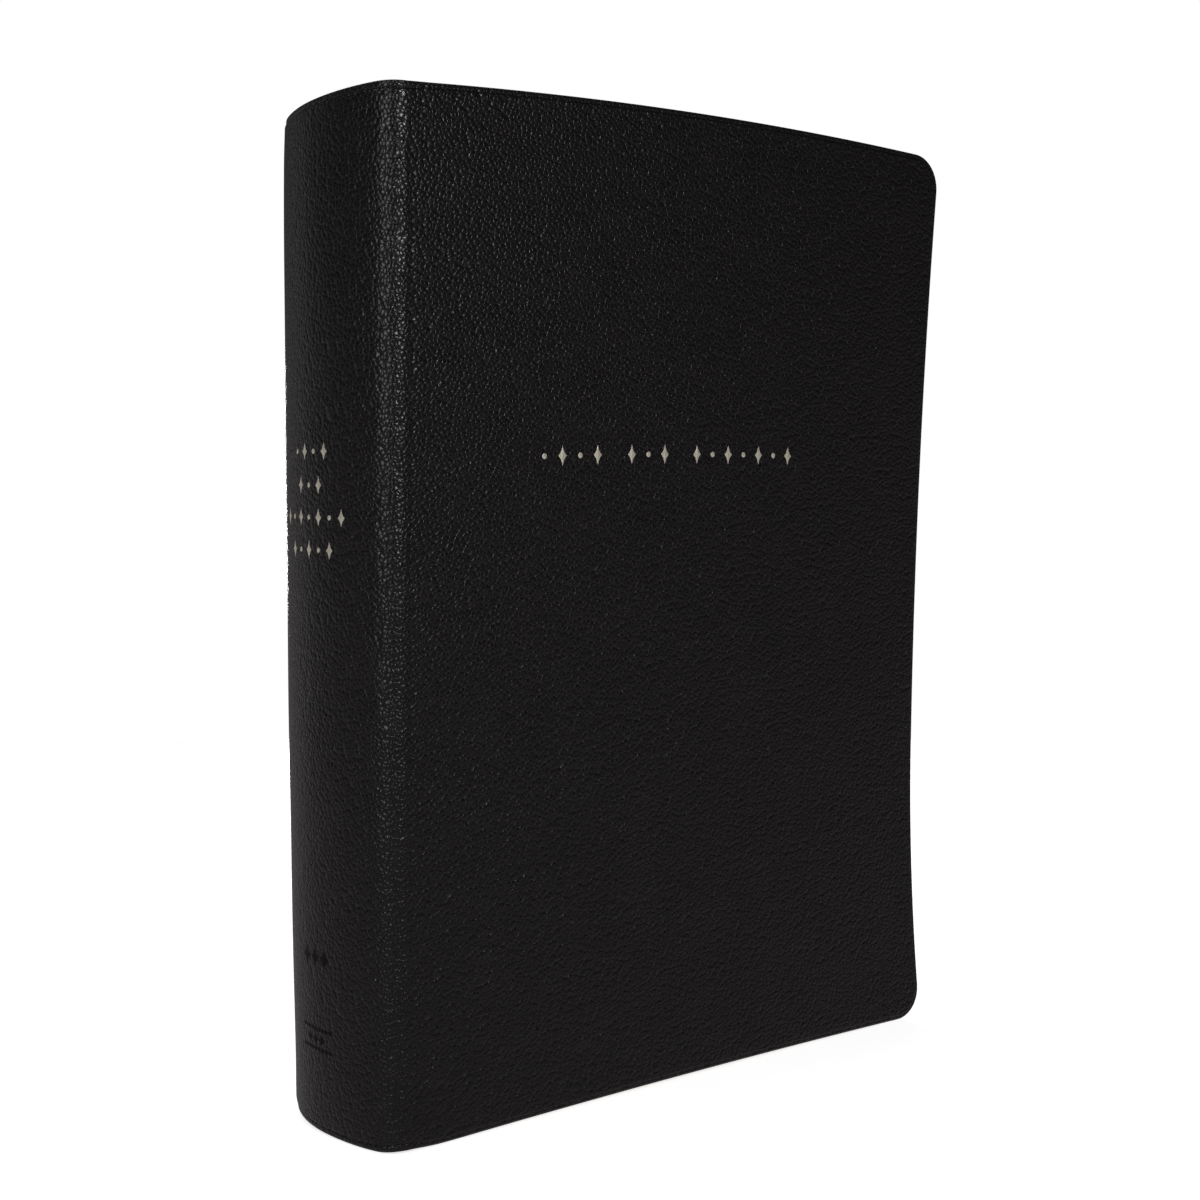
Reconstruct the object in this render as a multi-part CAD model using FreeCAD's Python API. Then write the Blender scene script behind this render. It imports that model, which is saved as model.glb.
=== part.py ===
import FreeCAD, Part

import math
import os

# A limp leather-bound bible that stands on its tail. +Z is up, the spine is towards -X, the fore
# edge towards +X and the front cover towards -Y. The origin is under the middle of its box.
# The front cover's parts are drawn, and the back cover's are their mirror image.

V = FreeCAD.Vector

# Overall size, in mm
HEIGHT = 235.0
WIDTH = 180.0
THICKNESS = 48.0

# The round of the spine
SPINE_BULGE = 7.5  # how far its middle stands out from its two shoulders
SHOULDER_R = 2.2  # the rounding where the spine meets a cover

# Layers of a cover, from the outside in
LEATHER = 0.9
CARD = 0.8
TURN_IN = 0.6
LINING = 0.2

# Outline of a cover
CORNER_R = 9.0
EDGE_RIM = 2.5  # leather with no card in it, at the head and the tail
FORE_RIM = 5.0  # the same, at the fore edge
TURN_IN_WIDTH = 14.0
LINING_MARGIN = 5.0  # leather that the lining leaves bare round the edge

# Layers of the spine, from the outside in, after its leather
INLAY = 0.5
FLAP_GAP = 0.2  # between the spine's turned-in leather and the paper tube
TUBE_WALL = 0.25
TUBE_HOLLOW = 0.5
MULL = 0.3
THREAD_DEPTH = 0.25

# How the spine's inner layers stop short of its ends and of its shoulders
TUBE_END = 16.0
TUBE_MARGIN = 5.0
MULL_END = 10.0
MULL_MARGIN = 3.4

# The text block
HEAD_SQUARE = 3.5  # how far the cover stands out past the pages, at the head and the tail
FORE_SQUARE = 5.0
PAGE_CORNER_R = 6.0
GATHERINGS_PER_HALF = 14
GATHERING = 1.49  # 32 leaves of thin paper
CENTRE_GAP = 0.04  # half of the gap between the two halves of the block
FLYLEAF = 0.3
FLYLEAF_GAP = 0.15  # between the flyleaf and the block, and between it and the lining
FOLD_DEPTH = 1.8  # the sewn and glued folds, at the block's outer sides

# Sewing and bands
SEWING_STATIONS = 6
SEWING_END = 24.0  # from the end of the block to its first row of stitches
STITCH_HEIGHT = 0.9
BAND_R = 1.1
BAND_SINK = 0.5  # how far a band's core lies above the end of the block
BAND_SETBACK = 1.5  # from the back of the folds to the middle of the band
BAND_MARGIN = 1.6

# Where the covers and the two halves of the block turn
HINGE_SETBACK = 0.7  # from the end of the shoulder's rounding towards the spine
COVER_CLEARANCE = 2.2  # from the hinge line to the stiff part of the cover
CARD_CLEARANCE = 8.0  # from the hinge line to the card, so that leather alone bends there
LEAF_CLEARANCE = 0.1  # between the folds and the leaves that turn

SPINE_X = -WIDTH / 2
FORE_X = WIDTH / 2
HALF_T = THICKNESS / 2
SPINE_R = (HALF_T**2 + SPINE_BULGE**2) / (2 * SPINE_BULGE)
SPINE_CENTRE_X = SPINE_X + SPINE_R
SHOULDER_REACH = math.sqrt((SPINE_R - SHOULDER_R) ** 2 - (HALF_T - SHOULDER_R) ** 2)
SHOULDER_X = SPINE_CENTRE_X - SHOULDER_REACH

CARD_DEPTH = LEATHER
TURN_IN_DEPTH = CARD_DEPTH + CARD
LINING_DEPTH = TURN_IN_DEPTH + TURN_IN
COVER_T = LINING_DEPTH + LINING

HINGE_X = SHOULDER_X - HINGE_SETBACK
HINGE_Y = HALF_T - COVER_T / 2
COVER_START = HINGE_X + COVER_CLEARANCE

INLAY_DEPTH = LEATHER
FLAP_DEPTH = INLAY_DEPTH + INLAY
TUBE_DEPTH = FLAP_DEPTH + TURN_IN + FLAP_GAP
MULL_DEPTH = TUBE_DEPTH + 2 * TUBE_WALL + TUBE_HOLLOW
FOLD_BACK_DEPTH = MULL_DEPTH + MULL

BLOCK_HALF = CENTRE_GAP + GATHERINGS_PER_HALF * GATHERING
FOLD_R = SPINE_R - FOLD_BACK_DEPTH
FOLD_REACH = math.sqrt(FOLD_R**2 - BLOCK_HALF**2)
FOLD_FRONT = SPINE_CENTRE_X - FOLD_REACH + FOLD_DEPTH
LEAF_START = FOLD_FRONT + LEAF_CLEARANCE
LEAF_END = FORE_X - FORE_SQUARE
BLOCK_TOP = HEIGHT - HEAD_SQUARE

PAST = 1.0  # how far a cutting tool runs past the face that it cuts


def plate(x0, x1, margin, corner, depth0, depth1):
    """A flat sheet on the front side, with the two corners of its fore edge rounded.
    margin is its distance from the head and the tail, and its depths are from the cover's face."""
    y = depth0 - HALF_T
    low = margin
    high = HEIGHT - margin
    inset = corner * (1 - math.sqrt(0.5))
    tail = [V(x1 - corner, y, low), V(x1 - inset, y, low + inset), V(x1, y, low + corner)]
    head = [V(x1, y, high - corner), V(x1 - inset, y, high - inset), V(x1 - corner, y, high)]
    edges = [
        Part.LineSegment(V(x0, y, low), tail[0]),
        Part.Arc(*tail),
        Part.LineSegment(tail[2], head[0]),
        Part.Arc(*head),
        Part.LineSegment(head[2], V(x0, y, high)),
        Part.LineSegment(V(x0, y, high), V(x0, y, low)),
    ]
    outline = Part.Wire([edge.toShape() for edge in edges])
    return Part.Face(outline).extrude(V(0, depth1 - depth0, 0))


def mirrored(shape):
    """The same part of the back cover."""
    return shape.mirror(V(0, 0, 0), V(0, 1, 0))


def cover_leather():
    """Leather turned in over the card at the head, the tail and the fore edge."""
    leather = plate(COVER_START, FORE_X, 0, CORNER_R, 0, LINING_DEPTH)
    return leather.cut(cover_card()).cut(lining_recess(PAST))


def lining_recess(run_past):
    """The space inside the turned-in leather, from the card to the leather's inner face."""
    corner = CORNER_R - EDGE_RIM
    end = FORE_X - TURN_IN_WIDTH
    return plate(COVER_START - run_past, end, TURN_IN_WIDTH, corner, TURN_IN_DEPTH, LINING_DEPTH)


def cover_card():
    """The thin card that stiffens a cover."""
    start = HINGE_X + CARD_CLEARANCE
    corner = CORNER_R - EDGE_RIM
    return plate(start, FORE_X - FORE_RIM, EDGE_RIM, corner, CARD_DEPTH, TURN_IN_DEPTH)


def cover_lining():
    """The pasted-down endpaper, over the turned-in leather and the filling inside it."""
    corner = CORNER_R - LINING_MARGIN
    end = FORE_X - LINING_MARGIN
    paper = plate(COVER_START, end, LINING_MARGIN, corner, LINING_DEPTH, COVER_T)
    return paper.fuse(lining_recess(0)).removeSplitter()


def flyleaf():
    """The free leaf of the endpaper, between the cover's lining and the block."""
    depth = COVER_T + FLYLEAF_GAP
    return plate(LEAF_START, LEAF_END, HEAD_SQUARE, PAGE_CORNER_R, depth, depth + FLYLEAF)


def gathering(number):
    """One gathering of folded leaves, counted from the front. The fore edge of the block is hollow,
    as its spine is round, so a gathering nearer to the middle ends further in."""
    from_middle = GATHERINGS_PER_HALF - number
    near = CENTRE_GAP + from_middle * GATHERING
    middle = near + GATHERING / 2
    hollow = math.sqrt(FOLD_R**2 - middle**2) - FOLD_REACH
    depth = HALF_T - near - GATHERING
    return plate(
        LEAF_START, LEAF_END - hollow, HEAD_SQUARE, PAGE_CORNER_R, depth, depth + GATHERING
    )


def spine_core(depth, low, high):
    """Everything between the spine's outline, that far under its face, and the end of the shoulders."""
    half = HALF_T - depth
    fillet = SHOULDER_R - depth
    round_r = SPINE_R - depth
    lean = math.asin((HALF_T - SHOULDER_R) / (SPINE_R - SHOULDER_R))
    join_x = SPINE_CENTRE_X - round_r * math.cos(lean)
    join_y = round_r * math.sin(lean)
    half_lean = (math.pi / 2 + lean) / 2
    bend_x = SHOULDER_X - fillet * math.cos(half_lean)
    bend_y = HALF_T - SHOULDER_R + fillet * math.sin(half_lean)
    front = [V(SHOULDER_X, -half, low), V(bend_x, -bend_y, low), V(join_x, -join_y, low)]
    back = [V(join_x, join_y, low), V(bend_x, bend_y, low), V(SHOULDER_X, half, low)]
    edges = [
        Part.Arc(*front),
        Part.Arc(front[2], V(SPINE_CENTRE_X - round_r, 0, low), back[0]),
        Part.Arc(*back),
        Part.LineSegment(back[2], front[0]),
    ]
    outline = Part.Wire([edge.toShape() for edge in edges])
    return Part.Face(outline).extrude(V(0, 0, high - low))


def spine_layer(depth0, depth1, low, high):
    """One layer round the whole spine, shoulders included."""
    return spine_core(depth0, low, high).cut(spine_core(depth1, low, high))


def spine_strip(depth0, depth1, half_width, low, high):
    """A strip that follows the round of the spine and stops at half_width from its middle."""
    centre = V(SPINE_CENTRE_X, 0, low)
    outer = Part.makeCylinder(SPINE_R - depth0, high - low, centre)
    inner = Part.makeCylinder(SPINE_R - depth1, high - low, centre)
    reach = SPINE_CENTRE_X - SPINE_X
    slab = Part.makeBox(reach, 2 * half_width, high - low, V(SPINE_X, -half_width, low))
    return outer.cut(inner).common(slab)


def spine_leather():
    """The leather over the spine, folded at the head and the tail and turned in behind the inlay."""
    leather = spine_layer(0, INLAY_DEPTH, 0, HEIGHT)
    folds = [(0, EDGE_RIM), (HEIGHT - EDGE_RIM, HEIGHT)]
    flaps = [(0, TURN_IN_WIDTH), (HEIGHT - TURN_IN_WIDTH, HEIGHT)]
    parts = [spine_layer(INLAY_DEPTH, FLAP_DEPTH, *fold) for fold in folds]
    parts += [spine_layer(FLAP_DEPTH, FLAP_DEPTH + TURN_IN, *flap) for flap in flaps]
    return leather.fuse(parts).removeSplitter()


def spine_inlay():
    """The strip of card that keeps the spine's round."""
    return spine_layer(INLAY_DEPTH, FLAP_DEPTH, EDGE_RIM, HEIGHT - EDGE_RIM)


def spine_tube():
    """The flattened paper tube between the inlay and the folds, hollow from end to end."""
    half_width = HALF_T - TUBE_MARGIN
    top = HEIGHT - TUBE_END
    whole = spine_strip(TUBE_DEPTH, MULL_DEPTH, half_width, TUBE_END, top)
    hollow_half = half_width - TUBE_WALL
    start = TUBE_DEPTH + TUBE_WALL
    hollow = spine_strip(start, start + TUBE_HOLLOW, hollow_half, TUBE_END - PAST, top + PAST)
    return whole.cut(hollow)


def spine_mull():
    """The open-weave cloth glued over the sewn folds."""
    low = HEAD_SQUARE + MULL_END
    return spine_strip(MULL_DEPTH, FOLD_BACK_DEPTH, HALF_T - MULL_MARGIN, low, HEIGHT - low)


def sewing_threads():
    """The rows of stitches across the backs of the gatherings."""
    first = HEAD_SQUARE + SEWING_END
    pitch = (HEIGHT - 2 * first) / (SEWING_STATIONS - 1)
    half_width = BLOCK_HALF - GATHERING / 2
    rows = []
    for station in range(SEWING_STATIONS):
        low = first + station * pitch - STITCH_HEIGHT / 2
        depth = FOLD_BACK_DEPTH + THREAD_DEPTH
        rows.append(spine_strip(FOLD_BACK_DEPTH, depth, half_width, low, low + STITCH_HEIGHT))
    return Part.makeCompound(rows)


def sewn_folds(threads):
    """The folds of all the gatherings, sewn and glued into one rounded back."""
    length = BLOCK_TOP - HEAD_SQUARE
    round_back = Part.makeCylinder(FOLD_R, length, V(SPINE_CENTRE_X, 0, HEAD_SQUARE))
    corner = V(SPINE_X, -BLOCK_HALF, HEAD_SQUARE)
    slab = Part.makeBox(FOLD_FRONT - SPINE_X, 2 * BLOCK_HALF, length, corner)
    return round_back.common(slab).cut(threads)


def head_band():
    """The wound band at the head of the folds: a roll that follows the round of the spine."""
    ring_r = FOLD_R - BAND_SETBACK
    centre = V(SPINE_CENTRE_X, 0, BLOCK_TOP + BAND_SINK)
    ring = Part.makeTorus(ring_r, BAND_R, centre, V(0, 0, 1))
    half_width = BLOCK_HALF - BAND_MARGIN
    corner = V(SPINE_X, -half_width, BLOCK_TOP)
    return ring.common(Part.makeBox(ring_r, 2 * half_width, 2 * BAND_R, corner))


def tail_band(band):
    """The same band at the tail."""
    return band.mirror(V(0, 0, HEIGHT / 2), V(0, 0, 1))


def all_parts():
    """Every part by its node's name."""
    threads = sewing_threads()
    band = head_band()
    parts = {
        "front_cover_leather": cover_leather(),
        "front_cover_card": cover_card(),
        "front_cover_lining": cover_lining(),
        "front_flyleaf": flyleaf(),
        "spine_leather": spine_leather(),
        "spine_inlay": spine_inlay(),
        "spine_tube": spine_tube(),
        "spine_mull": spine_mull(),
        "sewing_threads": threads,
        "sewn_folds": sewn_folds(threads),
        "head_band": band,
        "tail_band": tail_band(band),
    }
    for name in ("cover_leather", "cover_card", "cover_lining", "flyleaf"):
        parts["back_" + name] = mirrored(parts["front_" + name])
    for number in range(1, GATHERINGS_PER_HALF + 1):
        from_back = 2 * GATHERINGS_PER_HALF + 1 - number
        parts[f"gathering_{number:02d}"] = gathering(number)
        parts[f"gathering_{from_back:02d}"] = mirrored(parts[f"gathering_{number:02d}"])
    return parts


def main():
    os.makedirs("parts", exist_ok=True)
    for name, shape in sorted(all_parts().items()):
        shape.exportStep(f"parts/{name}.step")
        print(f"{name}: {shape.Volume:.1f} mm3, {len(shape.Solids)} solid(s), valid {shape.isValid()}")
    print(f"hinge line at x {HINGE_X:.3f}, y {HINGE_Y:.3f} mm from the middle")


main()
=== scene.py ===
import math
from collections import namedtuple

import bpy
import numpy as np
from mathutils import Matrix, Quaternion, Vector


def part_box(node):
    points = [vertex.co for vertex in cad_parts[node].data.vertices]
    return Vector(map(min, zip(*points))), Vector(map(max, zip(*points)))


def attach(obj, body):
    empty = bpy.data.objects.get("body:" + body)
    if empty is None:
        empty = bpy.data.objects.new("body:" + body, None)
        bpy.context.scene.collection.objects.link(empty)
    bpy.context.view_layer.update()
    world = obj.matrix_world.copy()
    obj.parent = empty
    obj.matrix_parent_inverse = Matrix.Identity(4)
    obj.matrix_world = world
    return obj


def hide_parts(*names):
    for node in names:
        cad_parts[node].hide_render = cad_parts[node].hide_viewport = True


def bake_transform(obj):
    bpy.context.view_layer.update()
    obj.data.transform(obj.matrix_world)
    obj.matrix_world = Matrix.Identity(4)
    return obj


# A limp leather-bound bible on its tail. Lengths are in metres. The case is laid out flat as (u, z):
# u runs round the case from the middle of the spine, negative over the front cover and positive over
# the back cover, and z runs up it. place() bends that sheet round the book.

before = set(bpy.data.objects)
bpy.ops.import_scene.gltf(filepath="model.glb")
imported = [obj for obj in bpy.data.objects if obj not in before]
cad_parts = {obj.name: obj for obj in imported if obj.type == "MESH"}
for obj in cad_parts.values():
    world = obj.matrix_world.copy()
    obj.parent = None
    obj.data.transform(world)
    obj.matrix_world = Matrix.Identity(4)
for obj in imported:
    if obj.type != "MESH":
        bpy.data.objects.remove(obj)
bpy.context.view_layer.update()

MM = 0.001

spine_low, spine_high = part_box("spine_leather")
cover_low, cover_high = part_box("front_cover_leather")
card_low, card_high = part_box("front_cover_card")
lining_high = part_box("front_cover_lining")[1]

HEIGHT = cover_high.z
HALF_T = -cover_low.y
FORE_X = cover_high.x
SPINE_X = spine_low.x
SHOULDER_X = spine_high.x
GATHERINGS = 28
PER_HALF = GATHERINGS // 2

# Half of the spine's outline: a wide round, then a shoulder with its own radius. The chord is half of the
# width of the round's arc, lean is the angle where the shoulder starts, and arc and flat are the lengths
# to there and to the flat cover.
Outline = namedtuple("Outline", "radius chord round_r lean arc flat")


def outline_of(radius):
    chord = HALF_T - radius
    depth = SHOULDER_X - SPINE_X
    round_r = (depth**2 - radius**2 + chord**2) / (2 * (depth - radius))
    lean = math.asin(chord / (round_r - radius))
    arc = round_r * lean
    return Outline(radius, chord, round_r, lean, arc, arc + radius * (math.pi / 2 - lean))


# The case: its round, its shoulders, and the layers under its face
FRONT_SHOULDER = outline_of(5.5 * MM)
BACK_SHOULDER = outline_of(2.4 * MM)
CAD_SHOULDER = outline_of(2.2 * MM)
EASE = 3.2 * MM  # the round turns into the shoulder over this length to each side
ROUND_CENTRE_X = SPINE_X + CAD_SHOULDER.round_r
CHORD = BACK_SHOULDER.chord
FLAT_START = 27.0 * MM
ARC_LENGTH = FLAT_START * FRONT_SHOULDER.arc / FRONT_SHOULDER.flat
FLAT_LENGTH = FORE_X - SHOULDER_X
HALF_GIRTH = FLAT_START + FLAT_LENGTH
CORNER_R = 9.0 * MM
CARD_TOP = card_low.y - cover_low.y
CARD_BOTTOM = card_high.y - cover_low.y
TURN_IN_DEPTH = cover_high.y - cover_low.y
LINING_DEPTH = lining_high.y - cover_low.y
TURN_IN_WIDTH = 14.0 * MM
FLAP_END = 0.8 * MM  # the length over which the turned-in flap thins out
FLAP_SWELL_START = 1.2 * MM  # from the rim, where the flap starts to thicken
FLAP_SWELL_LENGTH = 2.0 * MM
SPINE_LEATHER = 0.9 * MM
SPINE_FLAP = 0.7 * MM
HEAD_MARGIN = card_low.z
LINING_MARGIN = 5.0 * MM
LINING_START = SHOULDER_X + 1.2 * MM
LINING_OVERLAP = 0.05 * MM  # how far a lining sinks into the turned-in leather
INLAY_DEPTHS = (0.95 * MM, 1.35 * MM)

# How a limp case differs from the flat solids
ARCH_HEAD = 2.85 * MM  # a cover's head edge, at the middle of its width
ARCH_TAIL = 0.8 * MM
CORNER_RISE = 0.6 * MM  # the fore corner at the head
FLARE_HEAD = 2.1 * MM  # how far the fore edge stands away from the pages, at its two corners
FLARE_TAIL = 0.7 * MM
COVER_BOW = -0.3 * MM  # and between them
FORE_HOLLOW = 4.5 * MM  # how far the fore edge is drawn in there
HOLLOW_SHARE = 0.325  # the height of that place
SPREAD_HEAD = (0.62 * MM, 0.0)  # how far the two shoulders spread, front and back
SPREAD_TAIL = (-0.5 * MM, -1.2 * MM)
SPINE_BOW = 0.6 * MM  # the spine's middle, as a whole
SPINE_BOW_REACH = 0.4  # the share of a cover's width that it carries along
SPINE_SWELL = 0.08 * MM  # its round, at the middle of its height
END_DRAW = 0.45 * MM  # its leather, drawn in at the head and the tail
END_DRAW_LENGTH = 4.0 * MM
CAP_DROP = 2.4 * MM  # the head, at the spine's back shoulder
CAP_START = 0.9
CAP_LENGTH = 14.0 * MM
TAIL_LIFT = 0.8 * MM  # the tail edge, at the shoulders
TAIL_LIFT_WIDTH = 6.0 * MM
RIM_STEP = 0.28 * MM  # the turned edge lies lower
RIM_STEP_WIDTH = 0.7 * MM
RIM_GROOVE = 0.28 * MM  # the line that is pressed along it, clear on the spine
COVER_GROOVE = 0.13 * MM
GROOVE_WIDTH = 0.26 * MM
RIM_WIDTH = 1.75 * MM
COVER_RIM_WIDTH = 1.35 * MM
CREASE = 0.10 * MM  # the soft line where a cover starts
CREASE_AT = 1.2 * MM
CREASE_WIDTH = 0.7 * MM
CALM_WIDTH = 12.0 * MM  # the leather is even near its rim
RIM_R = 0.65 * MM  # half of the thickness of the turned edge, at a shoulder
RIM_R_COVER = 0.33 * MM  # what a cover adds to it
RIM_R_SPINE = 0.15 * MM  # and what the round of the spine adds
ROUND_END_LENGTH = 6.0 * MM
FACE_REACH = 5.0 * MM  # the face changes from the spine's to the cover's over this length
EDGE_REACH = 7.0 * MM  # and the turned edge and the back over this one

# Where the leather is cut near each shoulder, and the spans of x just before and after that cut
JOINT_SPLIT = SHOULDER_X + 0.6 * MM
HALF_BEND = (SHOULDER_X - 1.4 * MM, JOINT_SPLIT)
COVER_BEND = (JOINT_SPLIT, SHOULDER_X + 6.7 * MM)


# ---------------- shape helpers


def smooth(x):
    x = np.clip(x, 0, 1)
    return x * x * (3 - 2 * x)


def steps(*stretches):
    """Points along a line: each stretch is (end, spacing), and the first one is the start alone."""
    points = [stretches[0]]
    for end, spacing in stretches[1:]:
        count = max(1, round(abs(end - points[-1]) / spacing))
        points += list(np.linspace(points[-1], end, count + 1)[1:])
    return points


def mirrored_steps(half):
    """The same points on both sides of nought, which half starts from."""
    return [-p for p in reversed(half[1:])] + half


def eased_outline(shoulder):
    """Half of the spine's outline as a table: length along it, the normal's angle, x and y.

    Its curvature grows bit by bit from the round to the shoulder, as bent leather does.
    """
    radius, chord, round_r, lean, arc, flat = shoulder
    s = np.linspace(0, flat, 800)
    ease = min(EASE, 0.95 * (flat - arc))
    angle = np.where(s < arc, s / round_r, lean + (s - arc) / radius)
    angle = angle + (1 / radius - 1 / round_r) * np.maximum(ease - np.abs(s - arc), 0) ** 2 / (4 * ease)
    x = running_sum(np.sin(angle), s)
    y = running_sum(np.cos(angle), s)
    return s, angle, SPINE_X + x * (SHOULDER_X - SPINE_X) / x[-1], y * (chord + radius) / y[-1]


def running_sum(values, s):
    """The integral of values along s, from nought at its start."""
    return np.concatenate([[0], np.cumsum((values[1:] + values[:-1]) / 2 * np.diff(s))])


FRONT_OUTLINE = eased_outline(FRONT_SHOULDER)
BACK_OUTLINE = eased_outline(BACK_SHOULDER)


def path(u):
    """The case's outline seen from above: x, y and the outward normal, round the case."""
    side = np.where(u < 0, -1.0, 1.0)
    share = np.minimum(np.abs(u) / FLAT_START, 1)
    front, back = (
        [np.interp(share * s[-1], s, values) for values in columns]
        for s, *columns in (FRONT_OUTLINE, BACK_OUTLINE)
    )
    angle, x, y = (np.where(u < 0, *pair) for pair in zip(front, back))
    x = x + np.maximum(np.abs(u) - FLAT_START, 0)
    return x, side * y, -np.cos(angle), side * np.sin(angle)


def place(u, z, depth):
    """Points of the bent case, that deep under its face."""
    u, z, depth = np.broadcast_arrays(*(np.asarray(a, float) for a in (u, z, depth)))
    x, y, nx, ny = path(u)
    side = np.where(u < 0, -1.0, 1.0)
    s = np.abs(u)
    share = np.clip(z / HEIGHT, 0, 1)
    across = np.clip((s - FLAT_START) / FLAT_LENGTH, 0, 1)
    round_part = np.cos(math.pi / 2 * np.clip(s / FLAT_START, 0, 1))
    belly = 4 * share * (1 - share)
    from_end = np.minimum(np.abs(z), np.abs(HEIGHT - z))
    swell = SPINE_SWELL * belly - END_DRAW * np.exp(-from_end / END_DRAW_LENGTH)
    x = x - nx * (depth - swell * round_part) - SPINE_BOW * belly * (1 - smooth(across / SPINE_BOW_REACH))
    y = y - ny * (depth - swell * round_part)
    spread = np.where(u < 0, SPREAD_HEAD[0], SPREAD_HEAD[1]) * share**2
    spread = spread + np.where(u < 0, SPREAD_TAIL[0], SPREAD_TAIL[1]) * (1 - share) ** 2
    y = y + side * spread * np.clip(np.abs(y) / CHORD, 0, 1)
    from_hollow = share - HOLLOW_SHARE
    to_end = (from_hollow / np.where(from_hollow < 0, HOLLOW_SHARE, 1 - HOLLOW_SHARE)) ** 2
    corner = np.where(from_hollow < 0, FLARE_TAIL, FLARE_HEAD)
    y = y + side * (COVER_BOW + (corner - COVER_BOW) * to_end) * across**2
    x = x - FORE_HOLLOW * (1 - to_end) * across**2
    z = z + (ARCH_TAIL + (ARCH_HEAD - ARCH_TAIL) * share) * 4 * across * (1 - across)
    z = z + CORNER_RISE * across**2 * share**4
    z = z + TAIL_LIFT * np.exp(-(((s - FLAT_START + MM) / TAIL_LIFT_WIDTH) ** 2)) * (1 - share) ** 8
    near_head = smooth(1 - (HEIGHT - z) / CAP_LENGTH)
    on_cap = smooth((u / FLAT_START + CAP_START) / (1 + CAP_START))
    z = z - CAP_DROP * np.where(u < FLAT_START, on_cap, (1 - across) ** 8) * near_head
    return np.stack([x, y, z], axis=-1)


def waves(u, z):
    """The slow unevenness of limp leather."""
    return (
        0.10 * MM * np.sin(u / (31 * MM) + 1.1) * np.sin(z / (43 * MM) + 0.4)
        + 0.07 * MM * np.sin(u / (17 * MM) + z / (23 * MM))
        + 0.04 * MM * np.sin(z / (9 * MM) - u / (13 * MM) + 2.0)
    )


def cover_share(u, reach):
    """Nought on the spine and one on a cover, changing over that length from where the cover starts."""
    return smooth((np.abs(u) - FLAT_START) / reach)


def outer_depth(u, z, edge):
    """How far the leather's face lies under the case's outline. edge is the distance to its rim."""
    on_cover = cover_share(u, FACE_REACH)
    past_line = RIM_WIDTH + (COVER_RIM_WIDTH - RIM_WIDTH) * on_cover - edge
    step = RIM_STEP * smooth(past_line / RIM_STEP_WIDTH + 0.5)
    depth = RIM_GROOVE + (COVER_GROOVE - RIM_GROOVE) * on_cover
    groove = depth * np.exp(-((past_line / GROOVE_WIDTH) ** 2))
    crease = CREASE * np.exp(-(((np.abs(u) - FLAT_START - CREASE_AT) / CREASE_WIDTH) ** 2))
    calm = smooth(edge / CALM_WIDTH)
    return step + groove + crease * calm + waves(u, z) * calm + rim_rounding(u, edge)


def rim_radius(u):
    """Half of the thickness of the turned edge: thick on a cover, thin where it bends."""
    on_spine = 1 - smooth((np.abs(u) - ARC_LENGTH) / ROUND_END_LENGTH + 1)
    return RIM_R + RIM_R_COVER * cover_share(u, EDGE_REACH) + RIM_R_SPINE * on_spine


def rim_rounding(u, edge):
    radius = rim_radius(u)
    share = 1 - np.clip(edge / radius, 0, 1)
    return radius * (1 - np.sqrt(np.maximum(1 - share**2, 0)))


def inner_depth(u, edge):
    """How deep the leather's back lies: a turned-in flap round the edge, and one layer inside it."""
    rim = RIM_STEP + 2 * rim_radius(u)
    in_flap = 1 - smooth((edge - TURN_IN_WIDTH) / FLAP_END)
    cover = CARD_BOTTOM + (TURN_IN_DEPTH - CARD_BOTTOM) * in_flap
    spine = SPINE_LEATHER + SPINE_FLAP * in_flap
    full = spine + (cover - spine) * cover_share(u, EDGE_REACH)
    depth = rim + (full - rim) * smooth((edge - FLAP_SWELL_START) / FLAP_SWELL_LENGTH)
    return depth - rim_rounding(u, edge)


# ---------------- mesh helpers


def make_object(name, points, faces, uv, material, named_values=None):
    """A smooth-shaded mesh object. uv holds one pair for each vertex, and named_values one value."""
    mesh = bpy.data.meshes.new(name)
    mesh.from_pydata([tuple(p) for p in points], [], [tuple(f) for f in faces])
    mesh.polygons.foreach_set("use_smooth", [True] * len(mesh.polygons))
    if uv is not None:
        layer = mesh.uv_layers.new(name="surface")
        corner_vertex = np.zeros(len(mesh.loops), np.int32)
        mesh.loops.foreach_get("vertex_index", corner_vertex)
        layer.data.foreach_set("uv", np.asarray(uv, np.float32)[corner_vertex].ravel())
    for key, values in (named_values or {}).items():
        attribute = mesh.attributes.new(key, "FLOAT", "POINT")
        attribute.data.foreach_set("value", np.asarray(values, np.float32))
    mesh.update()
    obj = bpy.data.objects.new(name, mesh)
    bpy.context.scene.collection.objects.link(obj)
    mesh.materials.append(material)
    return obj


def vertex_normals(points, faces):
    """Area-weighted normals of a mesh, for pieces that are cut from it and must shade as one."""
    normals = np.zeros_like(points)
    for size in {len(f) for f in faces}:
        group = np.array([f for f in faces if len(f) == size])
        corner = points[group]
        if size == 3:
            area = np.cross(corner[:, 1] - corner[:, 0], corner[:, 2] - corner[:, 0])
        else:
            area = np.cross(corner[:, 2] - corner[:, 0], corner[:, 3] - corner[:, 1])
        for k in range(size):
            np.add.at(normals, group[:, k], area)
    return normals / np.maximum(np.linalg.norm(normals, axis=1, keepdims=True), 1e-12)


# ---------------- the flat layout of the case

# Distances to the rim of the rings of points along it, in mm, close together at the pressed line
RING_DISTANCES = (
    *(0, 0.04, 0.15, 0.32, 0.5, 0.7, 0.88, 1.02, 1.14, 1.25, 1.35, 1.45, 1.55, 1.65, 1.75, 1.85),
    *(1.96, 2.1, 2.3, 2.6, 3.0, 3.5, 4.1, 4.8, 5.6, 6.4, 7.2, 8.1),
)
RIM_RINGS = [d * MM for d in RING_DISTANCES]
CORNER_STEPS = 12
SPLIT_U = FLAT_START + (JOINT_SPLIT - SHOULDER_X)
# How far in from the rim the painted highlight on the rounded edge fades out
RIM_HIGHLIGHT_REACH = 1.1 * MM


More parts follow.
